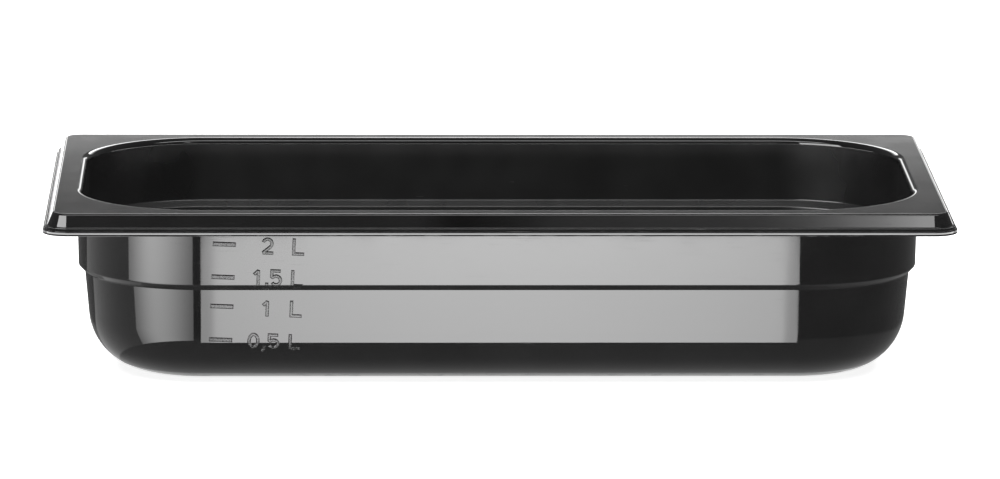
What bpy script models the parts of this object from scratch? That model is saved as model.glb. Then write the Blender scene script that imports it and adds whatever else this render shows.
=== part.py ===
"""Gastronorm 1/3 food pan, 65 mm deep, with a litre scale in relief on its front wall.

The pan is one moulding. It is a loft of rounded rectangles: each ring is the lip's outline moved in by an
inset, so the whole shell follows from one closed cross-section of (inset, height) points. The marks of the
litre scale are separate solids, a hair clear of the front wall.

Units are metres. +X runs along the pan, +Z is up, the front wall faces -Y and the origin is the centre of
the underside.
"""

import math

import bmesh
import bpy
from mathutils import Matrix, Vector

MM = 0.001

# Outside of the pan
LENGTH = 325 * MM  # gastronorm 1/3, over the lip
WIDTH = 176 * MM
DEPTH = 65 * MM
WALL = 2.5 * MM

# Rim: a flat flange, a skirt that slopes out and down from it, an upright band, and a bead along the lip
RIM_HEIGHT = 7.2 * MM
RIM_CORNER = 9 * MM  # corner radius of the lip, in plan
RIM_WALL = 2 * MM
SKIRT_SLOPE = math.radians(23)  # from the vertical
SKIRT_EDGE_RADIUS = 1 * MM
SKIRT_FOOT = 1.6 * MM  # inset of the skirt's lower end
BAND_TOP = 2.5 * MM  # over the bottom of the lip
BEAD_TOP = 1.1 * MM
BEAD_RADIUS = 0.8 * MM  # and how far the bead stands out from the band

# Body: upper wall, stacking shoulder, lower wall and bottom radius
BODY_CORNER = 56 * MM  # corner radius in plan if the body were as large as the lip
BODY_INSET = 10.9 * MM  # outside of the upper wall, just under the flange
MOUTH_RADIUS = 2.3 * MM
UPPER_DRAFT = math.radians(1)
LOWER_DRAFT = math.radians(5.25)
SHOULDER_FOOT = 35.6 * MM  # height of the lower wall's top, outside
SHOULDER_STEP = 2.3 * MM  # a slope of 45 degrees, so also its height
LEDGE_FOOT = 39.5 * MM  # height of the same shoulder inside
BOTTOM_RADIUS = 22 * MM

# Litre scale: a fill line, a volume and the letter L in each row, all turned a little in the mould
SCALE = {"2": 52.7 * MM, "1,5": 40.8 * MM, "1": 29.7 * MM, "0,5": 17.4 * MM}  # heights of the fill lines
SCALE_TILT = math.radians(2.3)
SCALE_TOP = 53 * MM  # where the columns below are measured
LINE_X = -98.1 * MM
VOLUME_X = -82.8 * MM
LETTER_X = -71.7 * MM
NUMERAL_PITCH = 3.6 * MM
LINE_LENGTH = 8.3 * MM
LINE_WIDTH = 1.7 * MM
CHARACTER_HEIGHT = 6.05 * MM
CHARACTER_WIDTH = 4.4 * MM
STROKE = 1.1 * MM
MARK_THICKNESS = 0.4 * MM
MARK_GAP = 0.3 * MM  # clear of the wall

# Fineness of the round stretches
CORNER_STEPS = 8
BOTTOM_STEPS = 6
EDGE_STEPS = 3
CHARACTER_STEPS = 10


def clear_scene():
    for obj in list(bpy.data.objects):
        bpy.data.objects.remove(obj)


def black_polycarbonate():
    material = bpy.data.materials.new("black_polycarbonate")
    material.use_nodes = True
    shader = material.node_tree.nodes["Principled BSDF"]
    shader.inputs["Base Color"].default_value = (0.006, 0.006, 0.006, 1)
    shader.inputs["Roughness"].default_value = 0.12
    shader.inputs["Metallic"].default_value = 0
    shader.inputs["IOR"].default_value = 1.585
    return material


def arc(inset, height, radius, start, end, steps):
    """Section points about (inset, height). An angle of 0 degrees points outwards and 90 degrees up."""
    angles = [math.radians(start + (end - start) * step / steps) for step in range(steps + 1)]
    return [(inset - radius * math.cos(a), height + radius * math.sin(a)) for a in angles]


def bottom_centre():
    """Centre (inset, height) of the bottom radius, which runs into the drafted lower wall."""
    foot_inset = BODY_INSET + (DEPTH - WALL - SHOULDER_FOOT) * math.tan(UPPER_DRAFT) + SHOULDER_STEP
    wall_end = BOTTOM_RADIUS * (1 - math.sin(LOWER_DRAFT))
    wall_run = (SHOULDER_FOOT - wall_end) * math.tan(LOWER_DRAFT)
    return foot_inset + wall_run + BOTTOM_RADIUS * math.cos(LOWER_DRAFT), BOTTOM_RADIUS


def wall_section(offset, shoulder_foot, top):
    """Underside or floor, bottom radius, lower wall, shoulder and upper wall, moved in by offset."""
    inset, height = bottom_centre()
    draft = math.degrees(LOWER_DRAFT)
    section = arc(inset, height, BOTTOM_RADIUS - offset, -90, -draft, BOTTOM_STEPS)
    lower_inset, lower_height = section[-1]
    foot_inset = lower_inset - (shoulder_foot - lower_height) * math.tan(LOWER_DRAFT)
    head_inset = foot_inset - SHOULDER_STEP
    head_height = shoulder_foot + SHOULDER_STEP
    section += [(foot_inset, shoulder_foot), (head_inset, head_height)]
    return section + [(head_inset - (top - head_height) * math.tan(UPPER_DRAFT), top)]


def rim_section():
    """Inside of the skirt, lip, bead, band, skirt and flange edge, from under the flange outwards."""
    lip = DEPTH - RIM_HEIGHT
    band_top = lip + BAND_TOP
    edge_inset = SKIRT_FOOT + (DEPTH - band_top) * math.tan(SKIRT_SLOPE)
    underside = DEPTH - WALL
    inner_lip = SKIRT_FOOT + RIM_WALL
    inner_top = inner_lip + (underside - band_top) * math.tan(SKIRT_SLOPE)
    turn = math.pi / 2 - SKIRT_SLOPE
    arc_inset = edge_inset + SKIRT_EDGE_RADIUS * math.tan(turn / 2)
    slope = math.degrees(SKIRT_SLOPE)
    section = [(inner_top, underside), (inner_lip, band_top), (inner_lip, lip), (0, lip)]
    section += arc(BEAD_RADIUS, lip + BEAD_TOP - BEAD_RADIUS, BEAD_RADIUS, 0, 90, EDGE_STEPS)
    section += [(BEAD_RADIUS, band_top), (SKIRT_FOOT, band_top)]
    return section + arc(arc_inset, DEPTH - SKIRT_EDGE_RADIUS, SKIRT_EDGE_RADIUS, slope, 90, EDGE_STEPS)


def mouth_section(wall):
    """Round edge between the flange and the inside wall, then that wall down to the floor."""
    inset = wall[-1][0] - MOUTH_RADIUS
    edge = arc(inset, DEPTH - MOUTH_RADIUS, MOUTH_RADIUS, 90, 180, EDGE_STEPS)
    return edge + wall[-2::-1]


def rounded_rectangle(inset, height, outline_corner):
    """Ring of points, anticlockwise from above: an outline the size of the lip, moved in by inset."""
    corner = outline_corner - inset
    across_x = LENGTH / 2 - inset - corner
    across_y = WIDTH / 2 - inset - corner
    points = []
    for quadrant, (side_x, side_y) in enumerate(((1, 1), (-1, 1), (-1, -1), (1, -1))):
        for step in range(CORNER_STEPS + 1):
            angle = (quadrant + step / CORNER_STEPS) * math.pi / 2
            x = side_x * across_x + corner * math.cos(angle)
            y = side_y * across_y + corner * math.sin(angle)
            points.append((x, y, height))
    return points


def loft(rings):
    """Closed mesh through rings of equal length, with a flat face over the first and the last."""
    bm = bmesh.new()
    loops = [[bm.verts.new(point) for point in ring] for ring in rings]
    for below, above in zip(loops, loops[1:]):
        for i in range(len(below)):
            j = (i + 1) % len(below)
            bm.faces.new((below[i], below[j], above[j], above[i]))
    bm.faces.new(reversed(loops[0]))
    bm.faces.new(loops[-1])
    return bm


def inside_wall():
    return wall_section(WALL, LEDGE_FOOT, DEPTH - MOUTH_RADIUS)


def pan_rings():
    outside = wall_section(0, SHOULDER_FOOT, DEPTH - WALL)
    rings = [rounded_rectangle(*point, BODY_CORNER) for point in outside]
    rings += [rounded_rectangle(*point, RIM_CORNER) for point in rim_section()]
    return rings + [rounded_rectangle(*point, BODY_CORNER) for point in mouth_section(inside_wall())]


def add_pan(collection, material):
    mesh = bpy.data.meshes.new("pan")
    bm = loft(pan_rings())
    bm.to_mesh(mesh)
    bm.free()
    mesh.shade_smooth()
    mesh.set_sharp_from_angle(angle=math.radians(40))
    mesh.materials.append(material)
    collection.objects.link(bpy.data.objects.new("pan", mesh))


def inset_at(section, height):
    """Inset of a wall section at a height, along its straight pieces."""
    for (inset_a, height_a), (inset_b, height_b) in zip(section, section[1:]):
        if height_a <= height <= height_b:
            share = (height - height_a) / (height_b - height_a)
            return inset_a + (inset_b - inset_a) * share
    return section[-1][0]


def mark_matrix(x, height):
    """Frame of a mark on the front wall, turned with the scale: X along the pan, Z out of the wall."""
    centre_inset, centre_height = bottom_centre()
    slope = math.tan(SCALE_TILT)
    x, height = x - (SCALE_TOP - height) * slope, height - (x - LINE_X) * slope
    wall = wall_section(0, SHOULDER_FOOT, DEPTH - WALL)
    lean = UPPER_DRAFT
    inset = inset_at(wall, height)
    if height < centre_height - BOTTOM_RADIUS * math.sin(LOWER_DRAFT):
        lean = math.asin((centre_height - height) / BOTTOM_RADIUS)
        inset = centre_inset - BOTTOM_RADIUS * math.cos(lean)
    elif height < SHOULDER_FOOT:
        lean = LOWER_DRAFT
    out = Vector((0, -math.cos(lean), -math.sin(lean)))
    foot = Vector((x, inset - WIDTH / 2, height))
    place = Matrix.Translation(foot + out * (MARK_GAP + MARK_THICKNESS / 2))
    return place @ Matrix.Rotation(math.pi / 2 + lean, 4, "X") @ Matrix.Rotation(-SCALE_TILT, 4, "Z")


def add_fill_line(name, collection, material, height):
    mesh = bpy.data.meshes.new(name)
    bm = bmesh.new()
    bmesh.ops.create_cube(bm, size=1)
    bmesh.ops.scale(bm, vec=(LINE_LENGTH, LINE_WIDTH, MARK_THICKNESS), verts=bm.verts)
    bm.to_mesh(mesh)
    bm.free()
    mesh.materials.append(material)
    line = bpy.data.objects.new(name, mesh)
    line.matrix_world = mark_matrix(LINE_X, height)
    collection.objects.link(line)


def bow(x, y, radius_x, radius_y, start, end):
    """Centreline points on an elliptical arc, with angles in degrees."""
    angles = [math.radians(start + (end - start) * i / CHARACTER_STEPS) for i in range(CHARACTER_STEPS + 1)]
    return [Vector((x + radius_x * math.cos(a), y + radius_y * math.sin(a))) for a in angles]


def centreline(character):
    """Middle of a character's stroke. Its baseline is at 0 and it is centred across."""
    half = (CHARACTER_WIDTH - STROKE) / 2
    foot = STROKE / 2
    head = CHARACTER_HEIGHT - foot
    middle = CHARACTER_HEIGHT / 2
    if character == "0":
        return bow(0, middle, half, middle - foot, 0, 360)[:-1]
    if character == "1":
        stem = half / 2
        return [Vector((stem - half, head - half)), Vector((stem, head)), Vector((stem, 0))]
    if character == "2":
        hook = bow(0, head - half, half, half, 165, -47)
        return hook + [Vector((-half, foot)), Vector((half + foot, foot))]
    if character == "5":
        stem = [Vector((half, head)), Vector((-half, head)), Vector((-half, middle))]
        return stem + bow(0, foot + half, half, half, 110, -150)
    if character == "L":
        return [Vector((-half, CHARACTER_HEIGHT)), Vector((-half, foot)), Vector((half + foot, foot))]
    return [Vector((foot / 2, STROKE)), Vector((foot / 2, 0)), Vector((-foot / 2, -STROKE))]


def side_of_stroke(points, side, closed):
    """One edge of a stroke along a centreline: half its width to the right (1) or to the left (-1)."""
    edge = []
    for i, point in enumerate(points):
        before = point - points[i - 1] if i or closed else points[1] - point
        after = points[(i + 1) % len(points)] - point if i + 1 < len(points) or closed else before
        across = [Vector((run.y, -run.x)).normalized() * side for run in (before, after)]
        turns_away = before.cross(after) * side > 0
        if across[0].dot(across[1]) < 0 and turns_away:
            edge += [point + step * STROKE / 2 for step in across]
        else:
            mitre = (across[0] + across[1]) / (1 + across[0].dot(across[1]))
            edge.append(point + mitre * STROKE / 2)
    return edge


def add_outline(curve, points):
    spline = curve.splines.new("POLY")
    spline.points.add(len(points) - 1)
    for target, point in zip(spline.points, points):
        target.co = (point.x, point.y, 0, 1)
    spline.use_cyclic_u = True


def add_character(name, character, collection, material, x, height):
    curve = bpy.data.curves.new(name, "CURVE")
    curve.dimensions = "2D"
    curve.fill_mode = "BOTH"
    curve.extrude = MARK_THICKNESS / 2
    points = centreline(character)
    ring = character == "0"
    right = side_of_stroke(points, 1, ring)
    left = side_of_stroke(points, -1, ring)
    for outline in (right, left) if ring else (right + left[::-1],):
        add_outline(curve, outline)
    curve.materials.append(material)
    shape = bpy.data.objects.new(name, curve)
    to_baseline = Matrix.Translation((0, -CHARACTER_HEIGHT / 2, 0))
    shape.matrix_world = mark_matrix(x, height) @ to_baseline
    collection.objects.link(shape)


def add_scale_row(volume_text, height, collection, material):
    """Fill line, volume and letter of one row, as separate objects named after the volume."""
    row = volume_text.replace(",", "_") + "L"
    add_fill_line(f"fill_line_{row}", collection, material, height)
    for place, character in enumerate(volume_text):
        name = "comma" if character == "," else f"numeral_{character}"
        x = VOLUME_X + (place - (len(volume_text) - 1) / 2) * NUMERAL_PITCH
        add_character(f"{name}_of_{row}", character, collection, material, x, height)
    add_character(f"letter_L_of_{row}", "L", collection, material, LETTER_X, height)


def main():
    clear_scene()
    collection = bpy.data.collections.new("deli_food_pan")
    bpy.context.scene.collection.children.link(collection)
    material = black_polycarbonate()
    add_pan(collection, material)
    for volume_text, height in SCALE.items():
        add_scale_row(volume_text, height, collection, material)


main()
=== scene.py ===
"""Looks of a gastronorm 1/3 food pan: one fine continuous shell, and its litre scale in relief.

Metres, in the frame of the CAD model: +X along the pan, +Z up, the front wall faces -Y.
"""

import math

import bmesh
import bpy
from mathutils import Matrix, Vector


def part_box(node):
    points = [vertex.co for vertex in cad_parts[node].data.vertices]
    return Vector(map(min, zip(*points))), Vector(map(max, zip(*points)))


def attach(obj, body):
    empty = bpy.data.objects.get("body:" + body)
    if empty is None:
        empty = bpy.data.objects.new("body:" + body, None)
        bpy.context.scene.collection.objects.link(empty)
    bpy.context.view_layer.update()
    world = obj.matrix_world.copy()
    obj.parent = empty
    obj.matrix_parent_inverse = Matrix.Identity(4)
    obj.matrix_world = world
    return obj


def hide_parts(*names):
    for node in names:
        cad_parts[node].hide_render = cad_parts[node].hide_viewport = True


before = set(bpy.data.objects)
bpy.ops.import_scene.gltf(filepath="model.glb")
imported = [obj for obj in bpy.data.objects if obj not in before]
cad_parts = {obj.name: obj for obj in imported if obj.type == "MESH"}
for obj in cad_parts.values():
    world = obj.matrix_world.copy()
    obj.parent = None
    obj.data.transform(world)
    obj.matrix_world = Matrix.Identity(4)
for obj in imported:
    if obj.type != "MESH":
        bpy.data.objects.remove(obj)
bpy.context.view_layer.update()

MM = 0.001

# Outside of the pan, from the CAD model
PAN_LOW, PAN_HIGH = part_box("pan")
LENGTH = PAN_HIGH.x - PAN_LOW.x
WIDTH = PAN_HIGH.y - PAN_LOW.y
DEPTH = PAN_HIGH.z - PAN_LOW.z

# Thickness of the walls, the floor and the flange
WALL = 2.5 * MM
UNDER_FLANGE = DEPTH - WALL

# Rim: a flat flange, a skirt that slopes out and down from it, an upright band, and a bead along the lip
LIP = DEPTH - 7.6 * MM
BEAD_FOOT = LIP + 0.7 * MM  # the lip is upright below this
BEAD_TOP = LIP + 1.5 * MM
BEAD_DEPTH = 0.8 * MM  # how far the bead stands out from the band
BEAD_DRAFT = math.radians(4)
BAND_TOP = LIP + 2.9 * MM
SKIRT_FOOT = 1.6 * MM  # inset of the skirt's lower end
RIM_WALL = 2 * MM
RIM_OUTLINE = 9 * MM  # corner radius of the lip, in plan
SKIRT_SLOPE = math.tan(math.radians(23))
SKIRT_EDGE_RADIUS = 1.15 * MM

# Body: upper wall, stacking shoulder, lower wall and bottom radius
BODY_OUTLINE = 56 * MM  # corner radius in plan if the body were as large as the lip
BODY_INSET = 10.9 * MM  # outside of the upper wall, just under the flange
UPPER_DRAFT = math.radians(1)
LOWER_DRAFT = math.radians(5.25)
SHOULDER_FOOT = 35.6 * MM  # height of the lower wall's top, outside
SHOULDER_STEP = 2.3 * MM  # a slope of 45 degrees, so also its height
SHOULDER_HEAD = SHOULDER_FOOT + SHOULDER_STEP
LEDGE_FOOT = 39.5 * MM  # height of the same shoulder inside
BOTTOM_RADIUS = 22 * MM
MOUTH_RADIUS = 2.3 * MM

# Edges too small for the CAD model
SHOULDER_RADIUS = 0.9 * MM
ROOT_RADIUS = 1 * MM
LIP_RADIUS = 0.25 * MM
SMALL_RADIUS = 0.3 * MM
CREASE_RADIUS = 0.1 * MM
UNDERSIDE_GRAIN = 0.8 * MM  # the grain of the underside reaches this high up the bottom radius

# Fineness of the round stretches
CORNER_STEPS = 24
DEGREES_PER_STEP = 5
BOW_STEPS = 36

# Litre scale: a fill line, a volume and the letter L in each row, all turned a little in the mould
SCALE_TILT = math.radians(2.3)
LINE_LENGTH = 8.3 * MM
LINE_WIDTH = 1.7 * MM
CHARACTER_HEIGHT = 6.25 * MM
CHARACTER_WIDTH = 4.4 * MM
STROKE = 1.25 * MM
RELIEF = 0.36 * MM  # how far the marks stand out from the wall, with flanks of 45 degrees
STRIP = 0.4 * MM  # height of the strips a mark is cut into, to follow the bottom radius
CUT_ROW = "1_5L"  # its characters reach the shoulder, which cuts their feet off
CUT_ROW_LIFT = 0.4 * MM

# Plastic
REFRACTIVE_INDEX = 1.585
GRAIN_SIZE = 0.35 * MM
FINISHES = ("gloss", "grain", "haze")

# Studio. A radiance of 1 shows as white, and azimuths are in degrees from -Y towards -X
STUDIO_RADIANCE = 0.15
SUN_STRENGTH = 4.8
SUN_SPREAD = math.radians(80)
FLOOR_REACH = 20
FLOOR_DROP = 0.1 * MM
FLOOR_PALENESS = 0.85
FLOOR_GLOW = 0.85
TABLE_HEIGHT = 0.5 * MM
CARD_HEIGHT = 1.5 * MM
CARD_STEPS = 24
# The two rails under the pan (28 and 18 mm) are painted shade: they stand in for the floor darkened under
# and beside the pan, as the bottom radius mirrors it. The rails outside the lip are a dark flag.
FLAG_AND_SHADE_RAILS = (  # (inset from the lip's outline, shift along Y, radiance)
    (28 * MM, 0, 0.55),
    (18 * MM, 0, 0.28),
    (-6 * MM, 0, 0.26),
    (-12 * MM, 0, 0.15),
    (-400 * MM, -183 * MM, 0.15),
)
PANEL_FALL = 0.17  # how much dimmer a panel on the table gets from its middle to its sides
PANEL_EDGE = (0.94, 0.975)  # shares of its half width between which it also dims by PANEL_EDGE_FALL
PANEL_EDGE_FALL = 0.35
# Ends of (y, middle x, half width, share of the radiance)
FRONT_PANEL = ((-0.0884, 0.0003, 0.1072, 0.86), (-0.3315, 0.0065, 0.1166, 1.02))
BACK_PANEL = ((0.0884, 0, 0.107, 0.9), (0.33, 0, 0.117, 1))
BODY_APEX = (-0.1075, -0.057)  # where the cards that the body's corner mirrors fan out from, in plan
SKIRT_APEX = (RIM_OUTLINE - LENGTH / 2, RIM_OUTLINE - WIDTH / 2)  # the axis of the skirt's corner
HORIZON_RADIANCE = 2.6
HORIZON_DISTANCE = 3
HORIZON = (  # (degrees of elevation, share of HORIZON_RADIANCE)
    (4.5, 0.1),
    (6, 1),
    (8.3, 1),
    (9.2, 0.17),
    (9.9, 0.095),
    (10.5, 0.05),
    (25, 0.045),
)

# Camera, fitted to the outline of the pan
CAMERA_PLACE = (-0.067966, -2.823217, 0.558290)
CAMERA_TURN = math.radians(-1.414)
CAMERA_TILT = math.radians(90 - 10.394)
CAMERA_ROLL = math.radians(0.255)
FOCAL_LENGTH = 282.95
SENSOR_WIDTH = 36


def steps_between(start, end, count):
    """Ends of this many even steps, from start to end."""
    return [start + (end - start) * i / count for i in range(count + 1)]


def smoothstep(start, end, x):
    """0 up to the start, 1 from the end on, and smooth in between."""
    t = min(1, max(0, (x - start) / (end - start)))
    return t * t * (3 - 2 * t)


# ---------------------------------------------------------------- cross-section


class Corner:
    """Corner of the cross-section, with the finish up to the next corner and, if it differs, on its arc.

    The outline is the corner radius that its ring would have in plan if it were as large as the lip's.
    """

    def __init__(self, inset, height, radius, outline, finish="gloss", edge_finish=None):
        self.point = Vector((inset, height))
        self.radius = radius
        self.outline = outline
        self.finish = finish
        self.edge_finish = edge_finish or finish


def lower_inset(height, wall):
    """Inset of the lower wall at a height: outside with no wall, inside with one."""
    head = BODY_INSET + (UNDER_FLANGE - SHOULDER_HEAD) * math.tan(UPPER_DRAFT)
    foot = head + SHOULDER_STEP
    return foot + (SHOULDER_FOOT - height) * math.tan(LOWER_DRAFT) + wall / math.cos(LOWER_DRAFT)


def outside_corners():
    foot = lower_inset(SHOULDER_FOOT, 0)
    return [
        Corner(lower_inset(0, 0), 0, BOTTOM_RADIUS, BODY_OUTLINE),
        Corner(foot, SHOULDER_FOOT, SMALL_RADIUS, BODY_OUTLINE),
        Corner(foot - SHOULDER_STEP, SHOULDER_HEAD, SHOULDER_RADIUS, BODY_OUTLINE),
        Corner(BODY_INSET, UNDER_FLANGE, ROOT_RADIUS, BODY_OUTLINE),
    ]


def rim_corners():
    lip_inset = SKIRT_FOOT + RIM_WALL
    channel_inset = lip_inset + (UNDER_FLANGE - BAND_TOP) * SKIRT_SLOPE
    edge_inset = SKIRT_FOOT + (DEPTH - BAND_TOP) * SKIRT_SLOPE
    return [
        Corner(channel_inset, UNDER_FLANGE, ROOT_RADIUS, RIM_OUTLINE),
        Corner(lip_inset, BAND_TOP, ROOT_RADIUS, RIM_OUTLINE),
        Corner(lip_inset, LIP, SMALL_RADIUS, RIM_OUTLINE),
        Corner(0, LIP, LIP_RADIUS, RIM_OUTLINE),
        Corner(0, BEAD_FOOT, CREASE_RADIUS, RIM_OUTLINE),
        Corner((BEAD_TOP - BEAD_FOOT) * math.tan(BEAD_DRAFT), BEAD_TOP, SMALL_RADIUS, RIM_OUTLINE),
        Corner(BEAD_DEPTH, BEAD_TOP, CREASE_RADIUS, RIM_OUTLINE),
        Corner(BEAD_DEPTH, BAND_TOP, SMALL_RADIUS, RIM_OUTLINE),
        Corner(SKIRT_FOOT, BAND_TOP, SMALL_RADIUS, RIM_OUTLINE),
        Corner(edge_inset, DEPTH, SKIRT_EDGE_RADIUS, RIM_OUTLINE, "grain", "gloss"),
    ]


def inside_corners():
    foot = lower_inset(LEDGE_FOOT, WALL)
    head = foot - SHOULDER_STEP
    head_height = LEDGE_FOOT + SHOULDER_STEP
    mouth = head - (DEPTH - head_height) * math.tan(UPPER_DRAFT)
    return [
        Corner(mouth, DEPTH, MOUTH_RADIUS, BODY_OUTLINE, "haze", "gloss"),
        Corner(head, head_height, SHOULDER_RADIUS, BODY_OUTLINE, "haze"),
        Corner(foot, LEDGE_FOOT, SHOULDER_RADIUS, BODY_OUTLINE, "haze"),
        Corner(lower_inset(WALL, WALL), WALL, BOTTOM_RADIUS - WALL, BODY_OUTLINE, "haze"),
    ]


def rounded_corner(before, corner, after):
    """Arc at a corner of the cross-section: (point, outward normal) pairs from one leg to the next."""
    run_in = (corner.point - before).normalized()
    run_out = (after - corner.point).normalized()
    turn = math.atan2(run_in.cross(run_out), run_in.dot(run_out))
    start = corner.point - run_in * corner.radius * math.tan(abs(turn) / 2)
    outward = Vector((-run_in.y, run_in.x))
    centre = start + outward * math.copysign(corner.radius, turn)
    steps = max(2, round(math.degrees(abs(turn)) / DEGREES_PER_STEP))
    arc = []
    for step in range(steps + 1):
        rotation = Matrix.Rotation(turn * step / steps, 2)
        normal = rotation @ outward
        arc.append((centre - normal * math.copysign(corner.radius, turn), normal))
    return arc


def cross_section():
    """(point, outward normal, outline, finish) from the underside, round the rim, to the inside floor.

    A point is (inset from the lip's outline, height).
    """
    corners = outside_corners() + rim_corners() + inside_corners()
    middle = WIDTH / 2
    points = [Vector((middle, 0))] + [corner.point for corner in corners] + [Vector((middle, WALL))]
    section = []
    for before, corner, after in zip(points, corners, points[2:]):
        arc = rounded_corner(before, corner, after)
        finishes = [corner.edge_finish] * (len(arc) - 1) + [corner.finish]
        for (point, normal), finish in zip(arc, finishes):
            if point.y < UNDERSIDE_GRAIN:
                finish = "grain"
            section.append((point, normal, corner.outline, finish))
    return section


# ---------------------------------------------------------------- pan


def ring(inset, outline):
    """Plan points and outward directions, anticlockwise, of the lip's outline moved in by inset."""
    radius = outline - inset
    centre = Vector((LENGTH / 2 - outline, WIDTH / 2 - outline))
    points = []
    for quadrant, side in enumerate(((1, 1), (-1, 1), (-1, -1), (1, -1))):
        for step in range(CORNER_STEPS + 1):
            angle = (quadrant + step / CORNER_STEPS) * math.pi / 2
            direction = Vector((math.cos(angle), math.sin(angle)))
            points.append((Vector(side) * centre + direction * radius, direction))
    return points


def add_object(name, bm, materials):
    """Smooth-shaded object made of a bmesh, which is freed."""
    mesh = bpy.data.meshes.new(name)
    bm.to_mesh(mesh)
    bm.free()
    for material in materials:
        mesh.materials.append(material)
    mesh.shade_smooth()
    obj = bpy.data.objects.new(name, mesh)
    bpy.context.scene.collection.objects.link(obj)
    return obj


def add_pan(materials):
    """The moulding: a loft through its rings, with each vertex's exact normal."""
    bm = bmesh.new()
    loops = []
    normals = []
    finishes = []
    for point, normal, outline, finish in cross_section():
        loop = []
        for place, direction in ring(point.x, outline):
            loop.append(bm.verts.new((place.x, place.y, point.y)))
            normals.append((-normal.x * direction.x, -normal.x * direction.y, normal.y))
        loops.append(loop)
        finishes.append(FINISHES.index(finish))
    for below, above, finish in zip(loops, loops[1:], finishes):
        for i in range(len(below)):
            j = (i + 1) % len(below)
            bm.faces.new((below[i], below[j], above[j], above[i])).material_index = finish
    bm.faces.new(reversed(loops[0])).material_index = finishes[0]
    bm.faces.new(loops[-1]).material_index = finishes[-1]
    pan = add_object("pan_moulding", bm, [materials[finish] for finish in FINISHES])
    pan.data.normals_split_custom_set_from_vertices(normals)
    return pan


# ---------------------------------------------------------------- litre scale


def upper_wall_place(height, up):
    """(inset, height, lean) on the upper wall, a distance up from a height."""
    place = height + up * math.cos(UPPER_DRAFT)
    inset = BODY_INSET + (UNDER_FLANGE - place) * math.tan(UPPER_DRAFT)
    return inset, place, UPPER_DRAFT


def lower_wall_place(height, up):
    """(inset, height, lean) on the lower wall or the bottom radius, a distance up from a height."""
    arc_height = BOTTOM_RADIUS * (1 - math.sin(LOWER_DRAFT))
    arc_inset = lower_inset(arc_height, 0) + BOTTOM_RADIUS * math.cos(LOWER_DRAFT)
    if height > arc_height:
        along = (height - arc_height) / math.cos(LOWER_DRAFT) + up
    else:
        along = up - BOTTOM_RADIUS * (math.asin(1 - height / BOTTOM_RADIUS) - LOWER_DRAFT)
    lean = LOWER_DRAFT + max(0, -along) / BOTTOM_RADIUS
    inset = arc_inset - BOTTOM_RADIUS * math.cos(lean) - max(0, along) * math.sin(lean)
    place = BOTTOM_RADIUS * (1 - math.sin(lean)) + max(0, along) * math.cos(lean)
    return inset, place, lean


def front_wall(height, up):
    """Point and outward normal of the front wall at x = 0, a distance up along it from a height."""
    shoulder = (SHOULDER_FOOT + SHOULDER_HEAD) / 2
    wall_place = upper_wall_place if height + up > shoulder else lower_wall_place
    inset, place, lean = wall_place(height, up)
    return Vector((0, inset - WIDTH / 2, place)), Vector((0, -math.cos(lean), -math.sin(lean)))


def bow(x, y, radius_x, radius_y, start, end):
    """Centreline points on an elliptical arc, with angles in degrees."""
    angles = [math.radians(degrees) for degrees in steps_between(start, end, BOW_STEPS)]
    return [Vector((x + radius_x * math.cos(a), y + radius_y * math.sin(a))) for a in angles]


def centreline(character):
    """Middle of a character's stroke. Its baseline is at 0 and it is centred across."""
    half = (CHARACTER_WIDTH - STROKE) / 2
    foot = STROKE / 2
    head = CHARACTER_HEIGHT - foot
    middle = CHARACTER_HEIGHT / 2
    if character == "0":
        return bow(0, middle, half, middle - foot, 0, 360)[:-1]
    if character == "1":
        stem = half / 2
        return [Vector((stem - half, head - half)), Vector((stem, head)), Vector((stem, 0))]
    if character == "2":
        hook = bow(0, head - half, half, half, 165, -47)
        return hook + [Vector((-half, foot)), Vector((half + foot, foot))]
    if character == "5":
        stem = [Vector((half, head)), Vector((-half, head)), Vector((-half, middle))]
        return stem + bow(0, foot + half, half, half, 110, -150)
    if character == "L":
        return [Vector((-half, CHARACTER_HEIGHT)), Vector((-half, foot)), Vector((half + foot, foot))]
    return [Vector((foot / 2, STROKE)), Vector((foot / 2, 0)), Vector((-foot / 2, -STROKE))]


def side_of_stroke(points, side, closed):
    """One edge of a stroke along a centreline: half its width to the right (1) or to the left (-1)."""
    edge = []
    for i, point in enumerate(points):
        before = point - points[i - 1] if i or closed else points[1] - point
        after = points[(i + 1) % len(points)] - point if i + 1 < len(points) or closed else before
        across = [Vector((run.y, -run.x)).normalized() * side for run in (before, after)]
        turns_away = before.cross(after) * side > 0
        if across[0].dot(across[1]) < 0 and turns_away:
            edge += [point + step * STROKE / 2 for step in across]
        else:
            mitre = (across[0] + across[1]) / (1 + across[0].dot(across[1]))
            edge.append(point + mitre * STROKE / 2)
    return edge


def character_outlines(character):
    points = centreline(character)
    closed = character == "0"
    right = side_of_stroke(points, 1, closed)
    left = side_of_stroke(points, -1, closed)
    return (right, left) if closed else (right + left[::-1],)


def line_outlines():
    across = LINE_LENGTH / 2
    up = LINE_WIDTH / 2
    return ([Vector((x * across, y * up)) for x, y in ((-1, -1), (1, -1), (1, 1), (-1, 1))],)


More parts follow.
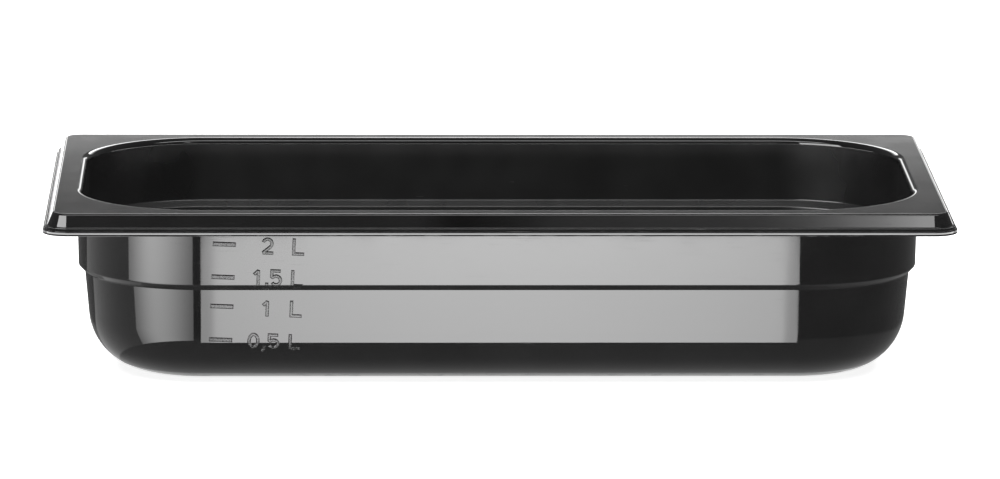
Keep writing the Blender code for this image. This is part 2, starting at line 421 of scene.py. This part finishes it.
def raised_mesh(outlines):
    """Flat shape with sloping flanks, centred on the origin. Its back half goes into the wall."""
    curve = bpy.data.curves.new("outline", "CURVE")
    curve.dimensions = "2D"
    curve.fill_mode = "BOTH"
    curve.bevel_depth = RELIEF
    curve.bevel_resolution = 0
    curve.offset = -RELIEF
    for outline in outlines:
        spline = curve.splines.new("POLY")
        spline.points.add(len(outline) - 1)
        for target, point in zip(spline.points, outline):
            target.co = (point.x, point.y, 0, 1)
        spline.use_cyclic_u = True
    shape = bpy.data.objects.new("outline", curve)
    bm = bmesh.new()
    bm.from_mesh(shape.to_mesh())
    bpy.data.objects.remove(shape)
    bpy.data.curves.remove(curve)
    bmesh.ops.remove_doubles(bm, verts=bm.verts, dist=0.001 * MM)
    low = [min(vertex.co[axis] for vertex in bm.verts) for axis in range(2)]
    high = [max(vertex.co[axis] for vertex in bm.verts) for axis in range(2)]
    bmesh.ops.translate(bm, verts=bm.verts, vec=(-(low[0] + high[0]) / 2, -(low[1] + high[1]) / 2, 0))
    return bm


def cut(bm, height, keeps_below=True):
    """Cuts a shape across at a height. Without what lies below, the cut is closed again."""
    geometry = bm.verts[:] + bm.edges[:] + bm.faces[:]
    plane = {"plane_co": (0, height, 0), "plane_no": (0, -1, 0)}
    found = bmesh.ops.bisect_plane(bm, geom=geometry, clear_outer=not keeps_below, **plane)
    if not keeps_below:
        edges = [part for part in found["geom_cut"] if isinstance(part, bmesh.types.BMEdge)]
        bmesh.ops.holes_fill(bm, edges=edges, sides=0)


def add_mark(node, outlines, material):
    """Mark of the litre scale on the outside of the front wall, in the place of its CAD node."""
    low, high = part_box(node)
    centre = (low + high) / 2
    bm = raised_mesh(outlines)
    bmesh.ops.rotate(bm, verts=bm.verts, cent=(0, 0, 0), matrix=Matrix.Rotation(-SCALE_TILT, 3, "Z"))
    strips = math.ceil(CHARACTER_HEIGHT / 2 / STRIP)
    for strip in range(1 - strips, strips):
        cut(bm, strip * STRIP)
    if "_of_" in node and node.endswith(CUT_ROW):
        centre.z += CUT_ROW_LIFT
        cut(bm, SHOULDER_HEAD - centre.z, keeps_below=False)
    for vertex in bm.verts:
        foot, out = front_wall(centre.z, vertex.co.y)
        vertex.co = foot + out * vertex.co.z + Vector((centre.x + vertex.co.x, 0, 0))
    bmesh.ops.recalc_face_normals(bm, faces=bm.faces)
    mark = add_object("relief_" + node, bm, [material])
    mark.data.shade_flat()
    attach(mark, "root")
    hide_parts(node)


def add_scale(material):
    """Marks for nodes such as fill_line_1_5L, numeral_5_of_1_5L, comma_of_1_5L and letter_L_of_1_5L."""
    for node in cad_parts:
        if node.startswith("fill_line"):
            add_mark(node, line_outlines(), material)
        elif "_of_" in node:
            character = "," if node.startswith("comma") else node.split("_")[1]
            add_mark(node, character_outlines(character), material)


# ---------------------------------------------------------------- materials


class Plastic:
    """Black polycarbonate. Its methods add procedural nodes, in object coordinates."""

    def __init__(self, name):
        self.material = bpy.data.materials.new(name)
        self.material.use_nodes = True
        self.nodes = self.material.node_tree.nodes
        self.links = self.material.node_tree.links
        self.shader = self.nodes["Principled BSDF"]
        self.shader.inputs["Metallic"].default_value = 0
        self.shader.inputs["IOR"].default_value = REFRACTIVE_INDEX
        self.place = self.nodes.new("ShaderNodeTexCoord").outputs["Object"]

    def put(self, value, socket):
        """Gives an input a plain value, or links it to another node's output."""
        if isinstance(value, bpy.types.NodeSocket):
            self.links.new(value, socket)
        else:
            socket.default_value = value

    def feed(self, node, **inputs):
        """Fills a node's inputs. Their names have underscores for spaces."""
        for name, value in inputs.items():
            self.put(value, node.inputs[name.replace("_", " ")])
        return node

    def noise(self, size, detail=2, stretch=(1, 1, 1)):
        """Noise from 0 to 1 with blots about this size, longer along an axis by its stretch."""
        scale = [1 / (size * axis) for axis in stretch]
        mapping = self.feed(self.nodes.new("ShaderNodeMapping"), Vector=self.place, Scale=scale)
        texture = self.nodes.new("ShaderNodeTexNoise")
        self.feed(texture, Vector=mapping.outputs["Vector"], Scale=1, Detail=detail)
        return texture.outputs["Fac"]

    def remap(self, value, start, end, low, high):
        """Goes smoothly from low to high as a value goes from start to end."""
        node = self.nodes.new("ShaderNodeMapRange")
        node.interpolation_type = "SMOOTHSTEP"
        self.feed(node, Value=value, From_Min=start, From_Max=end, To_Min=low, To_Max=high)
        return node.outputs["Result"]

    def combine(self, operation, first, second):
        node = self.nodes.new("ShaderNodeMath")
        node.operation = operation
        for value, socket in zip((first, second), node.inputs):
            self.put(value, socket)
        return node.outputs["Value"]

    def height(self):
        split = self.feed(self.nodes.new("ShaderNodeSeparateXYZ"), Vector=self.place)
        return split.outputs["Z"]

    def colour(self, base, spread):
        """Black, or nearly, that varies by the spread from place to place."""
        grey = self.remap(self.noise(30 * MM), 0.3, 0.7, base * (1 - spread), base * (1 + spread))
        mix = self.feed(self.nodes.new("ShaderNodeCombineColor"), Red=grey, Green=grey, Blue=grey)
        self.links.new(mix.outputs["Color"], self.shader.inputs["Base Color"])

    def roughness(self, value):
        self.links.new(value, self.shader.inputs["Roughness"])

    def relief(self, height, distance, under=None):
        """Bump of this depth, over another bump if there is one."""
        bump = self.nodes.new("ShaderNodeBump")
        self.feed(bump, Height=height, Distance=distance, Strength=1)
        if under:
            self.links.new(under, bump.inputs["Normal"])
        self.links.new(bump.outputs["Normal"], self.shader.inputs["Normal"])
        return bump.outputs["Normal"]


def scuffs(plastic):
    """1 where handling has dulled the gloss: patches along the lip and near the underside."""
    height = plastic.height()
    foot = plastic.remap(height, 1 * MM, 7 * MM, 1, 0)
    lip = plastic.remap(height, LIP, LIP + 0.8 * MM, 1, 0)
    above = plastic.remap(height, LIP - 1 * MM, LIP, 0, 1)
    places = plastic.combine("MAXIMUM", foot, plastic.combine("MULTIPLY", lip, above))
    patches = plastic.remap(plastic.noise(2.5 * MM, detail=4, stretch=(3, 3, 1)), 0.45, 0.62, 0, 1)
    return plastic.combine("MULTIPLY", places, patches)


def gloss_plastic():
    """Outside and rim: polished, with faint flow marks, hairline scratches and scuffed edges."""
    plastic = Plastic("polycarbonate_gloss")
    plastic.colour(base=0.006, spread=0.25)
    hairs = plastic.noise(0.25 * MM, detail=1, stretch=(60, 60, 1))
    scratches = plastic.remap(hairs, 0.68, 0.74, 0, 0.1)
    cloud = plastic.remap(plastic.noise(18 * MM, detail=3), 0.3, 0.7, 0.035, 0.065)
    wear = plastic.combine("MULTIPLY", scuffs(plastic), 0.22)
    plastic.roughness(plastic.combine("ADD", plastic.combine("ADD", cloud, scratches), wear))
    flow = plastic.relief(plastic.noise(40 * MM), 0.03 * MM)
    plastic.relief(hairs, 0.0005 * MM, flow)
    return plastic.material


def grained_plastic(name, roughness, depth):
    """Flange, underside and marks: the fine grain of a spark-eroded mould, worn smoother in patches."""
    plastic = Plastic(name)
    plastic.colour(base=0.007, spread=0.3)
    worn = plastic.noise(12 * MM, detail=4)
    plastic.roughness(plastic.remap(worn, 0.3, 0.7, roughness * 0.85, roughness * 1.1))
    plastic.relief(plastic.noise(GRAIN_SIZE, detail=3), depth)
    return plastic.material


def haze_and_painted_light_plastic():
    """Inside of the pan: lightly frosted, with the marks of use a little clearer towards the floor. Its base
    colour, lighter than the outside's, is partly the frosting and partly painted light.
    """
    plastic = Plastic("polycarbonate_haze_and_painted_light")
    # Partly painted light: the same black plastic as outside, given a lighter base colour so the inside
    # looks brighter, with the frosting giving the rest.
    plastic.colour(base=0.02, spread=0.1)
    hairs = plastic.noise(0.2 * MM, detail=1, stretch=(80, 80, 1))
    scratches = plastic.remap(hairs, 0.66, 0.74, 0, 0.04)
    cloud = plastic.remap(plastic.noise(15 * MM, detail=2), 0.3, 0.7, 0.22, 0.26)
    use = plastic.remap(plastic.height(), 0, 60 * MM, 1, 0.3)
    plastic.roughness(plastic.combine("ADD", cloud, plastic.combine("MULTIPLY", scratches, use)))
    plastic.relief(plastic.noise(0.5 * MM, detail=2), 0.004 * MM)
    return plastic.material


# ---------------------------------------------------------------- stage


def add_floor():
    """Plain pale floor. Its glow keeps it as pale beside the pan as it is far off."""
    bm = bmesh.new()
    bmesh.ops.create_grid(bm, x_segments=1, y_segments=1, size=FLOOR_REACH)
    material = bpy.data.materials.new("pale_floor")
    material.use_nodes = True
    shader = material.node_tree.nodes["Principled BSDF"]
    shader.inputs["Base Color"].default_value = (FLOOR_PALENESS, FLOOR_PALENESS, FLOOR_PALENESS, 1)
    shader.inputs["Roughness"].default_value = 1
    shader.inputs["Specular IOR Level"].default_value = 0
    shader.inputs["Emission Color"].default_value = (1, 1, 1, 1)
    shader.inputs["Emission Strength"].default_value = FLOOR_GLOW
    floor = add_object("floor", bm, [material])
    floor.location.z = PAN_LOW.z - FLOOR_DROP


def add_world():
    """Dim studio all round."""
    world = bpy.data.worlds.new("studio")
    world.use_nodes = True
    background = world.node_tree.nodes["Background"]
    background.inputs["Color"].default_value = (1, 1, 1, 1)
    background.inputs["Strength"].default_value = STUDIO_RADIANCE
    bpy.context.scene.world = world


def add_sun():
    """Even light on the floor. It doesn't show in the gloss, where the cards do."""
    light = bpy.data.lights.new("overhead", "SUN")
    light.energy = SUN_STRENGTH
    light.angle = SUN_SPREAD
    sun = bpy.data.objects.new("overhead", light)
    sun.visible_glossy = False
    bpy.context.scene.collection.objects.link(sun)


def glow_material():
    """Emission with the strength that each vertex of a card carries."""
    material = bpy.data.materials.new("card_glow")
    material.use_nodes = True
    nodes = material.node_tree.nodes
    links = material.node_tree.links
    nodes.remove(nodes["Principled BSDF"])
    radiance = nodes.new("ShaderNodeAttribute")
    radiance.attribute_name = "radiance"
    glow = nodes.new("ShaderNodeEmission")
    links.new(radiance.outputs["Fac"], glow.inputs["Strength"])
    links.new(glow.outputs["Emission"], nodes["Material Output"].inputs["Surface"])
    return material


def add_card(name, material, rails, radiances):
    """Studio card that only reflections see: strips between rails of points, with a radiance at each."""
    bm = bmesh.new()
    layer = bm.verts.layers.float.new("radiance")
    rows = []
    for points, values in zip(rails, radiances):
        row = []
        for point, value in zip(points, values):
            vertex = bm.verts.new(point)
            vertex[layer] = value
            row.append(vertex)
        rows.append(row)
    for near, far in zip(rows, rows[1:]):
        for i in range(len(near) - 1):
            bm.faces.new((near[i], near[i + 1], far[i + 1], far[i]))
    card = add_object(name, bm, [material])
    card.visible_camera = False
    card.visible_diffuse = False
    card.visible_shadow = False


def add_flag_and_painted_shade(material):
    """Dark surround that keeps the floor out of the walls' reflections. Under the pan it is painted shade,
    lighter under the pan: it stands in for the floor darkened by the pan, as the walls mirror it.
    """
    rails = []
    radiances = []
    for inset, shift, radiance in FLAG_AND_SHADE_RAILS:
        loop = [(place.x, place.y + shift, TABLE_HEIGHT) for place, _ in ring(inset, BODY_OUTLINE)]
        rails.append(loop + loop[:1])
        radiances.append([radiance] * len(rails[-1]))
    add_card("flag_and_painted_shade_card", material, rails, radiances)


def add_table_panel(name, material, ends, radiance):
    """Panel on the table, between two ends of (y, middle x, half width, share of the radiance).

    It is brightest along its middle, with its points closest together at its sides.
    """
    across = [math.sin(t * math.pi / 2) for t in steps_between(-1, 1, 2 * CARD_STEPS)]
    edge = [1 - PANEL_EDGE_FALL * smoothstep(*PANEL_EDGE, abs(t)) for t in across]
    profile = [(1 - PANEL_FALL * t * t) * level for t, level in zip(across, edge)]
    rails = [[(middle + half * t, y, CARD_HEIGHT) for t in across] for y, middle, half, _ in ends]
    rows = [[radiance * share * level for level in profile] for _, _, _, share in ends]
    add_card(name, material, rails, rows)


def add_sector_card(name, material, apex, azimuths, rims, radiance):
    """Panel that fans out about an upright axis. Its rims are (radius, height, share of the radiance)."""
    angles = [math.radians(degrees) for degrees in steps_between(*azimuths, CARD_STEPS)]
    rails = []
    rows = []
    for radius, height, share in rims:
        arc = [(apex[0] - radius * math.sin(a), apex[1] - radius * math.cos(a)) for a in angles]
        rails.append([(x, y, height) for x, y in arc])
        rows.append([share * radiance(math.degrees(a)) for a in angles])
    add_card(name, material, rails, rows)


def even(radiance):
    """The same radiance all along a card."""
    return lambda _: radiance


def bell(middle, width_below, width_above, peak):
    """Radiance that falls off on both sides of a place along a card."""

    def radiance(place):
        width = width_above if place > middle else width_below
        return peak * math.exp(-(((place - middle) / width) ** 2))

    return radiance


def brighter_to_the_back(azimuth):
    """Low radiance that rises a little towards the back."""
    return 0.43 + 0.25 * smoothstep(75, 130, azimuth)


def brighter_to_the_right(x):
    """Radiance that is faint on the left, then ever brighter towards the right-hand edge."""
    faint = 0.4 * smoothstep(0, 0.1, x)
    bright = 5 * max(0, (x - 0.12) / 0.13) ** 3.5
    return min(5.4, faint + bright)


def add_softbox(name, material, y, z, x_span, tilt, height, radiance):
    """Softbox in the air, facing the pan, with a radiance along its width."""
    across = steps_between(*x_span, CARD_STEPS)
    reach = height / 2 * math.sin(tilt)
    rise = height / 2 * math.cos(tilt)
    rails = [[(x, y - side * reach, z + side * rise) for x in across] for side in (-1, 1)]
    row = [radiance(x) for x in across]
    add_card(name, material, rails, (row, row))


def add_table_panels(glow):
    """Panels on the table. The front and the back wall mirror one each, the front-left corner the others."""
    add_table_panel("front_panel", glow, FRONT_PANEL, radiance=9.7)
    add_table_panel("back_panel", glow, BACK_PANEL, radiance=3)
    band = ((0.035, CARD_HEIGHT, 0.68), (0.286, CARD_HEIGHT, 1.04))
    band_radiance = bell(middle=46, width_below=37, width_above=24, peak=6.7)
    add_sector_card("left_band", glow, BODY_APEX, (8, 71), rims=band, radiance=band_radiance)
    table = ((0.035, CARD_HEIGHT, 1), (0.345, CARD_HEIGHT, 1))
    add_sector_card("left_table", glow, BODY_APEX, (71.3, 130), rims=table, radiance=brighter_to_the_back)


def add_skirt_lights(glow):
    """Softboxes for the slope of the skirt: towards its right-hand end, and in its front-left corner."""
    add_softbox(
        "right_softbox",
        glow,
        y=-1.1,
        z=0.78,
        x_span=(0, 0.33),
        tilt=math.radians(35),
        height=0.4,
        radiance=brighter_to_the_right,
    )
    patch = ((1, 0.16, 0.95), (1, 0.8, 1))
    add_sector_card("left_softbox", glow, SKIRT_APEX, (10, 66), rims=patch, radiance=even(8.4))


def add_edge_lights(glow):
    """Lights for the bead, the flange, and the rounded edges of the rim and the opening."""
    apron = ((0.7, CARD_HEIGHT, 1), (1.6, CARD_HEIGHT, 1), (1.6, 0.14, 1))
    add_sector_card("front_apron", glow, (0, 0), (-110, 110), rims=apron, radiance=even(9.5))
    rims = []
    for degrees, share in HORIZON:
        height = DEPTH + HORIZON_DISTANCE * math.tan(math.radians(degrees))
        rims.append((HORIZON_DISTANCE, height, share))
    horizon = even(HORIZON_RADIANCE)
    add_sector_card("back_horizon", glow, (0, 0), (168, 192), rims=rims, radiance=horizon)
    add_softbox(
        "back_strip",
        glow,
        y=1.3,
        z=0.75,
        x_span=(-0.7, 0.7),
        tilt=math.radians(-25),
        height=0.7,
        radiance=bell(middle=0.03, width_below=0.3, width_above=0.3, peak=6.5),
    )
    add_softbox(
        "front_strip",
        glow,
        y=-0.5,
        z=1,
        x_span=(-0.7, 0.7),
        tilt=math.radians(60),
        height=0.35,
        radiance=even(6),
    )


def add_studio():
    add_floor()
    add_world()
    add_sun()
    glow = glow_material()
    add_flag_and_painted_shade(glow)
    add_table_panels(glow)
    add_skirt_lights(glow)
    add_edge_lights(glow)


def add_camera():
    camera = bpy.data.cameras.new("camera")
    camera.sensor_width = SENSOR_WIDTH
    camera.lens = FOCAL_LENGTH
    obj = bpy.data.objects.new("camera", camera)
    turn = Matrix.Rotation(CAMERA_TURN, 4, "Z")
    tilt = Matrix.Rotation(CAMERA_TILT, 4, "X")
    roll = Matrix.Rotation(CAMERA_ROLL, 4, "Z")
    obj.matrix_world = Matrix.Translation(CAMERA_PLACE) @ turn @ tilt @ roll
    bpy.context.scene.collection.objects.link(obj)
    bpy.context.scene.camera = obj


def main():
    bpy.context.scene.view_settings.view_transform = "Standard"
    materials = {
        "gloss": gloss_plastic(),
        "grain": grained_plastic("polycarbonate_grain", roughness=0.06, depth=0.0005 * MM),
        "haze": haze_and_painted_light_plastic(),
    }
    pan = add_pan(materials)
    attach(pan, "root")
    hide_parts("pan")
    add_scale(grained_plastic("polycarbonate_relief", roughness=0.2, depth=0.15 * MM))
    add_studio()
    add_camera()


main()
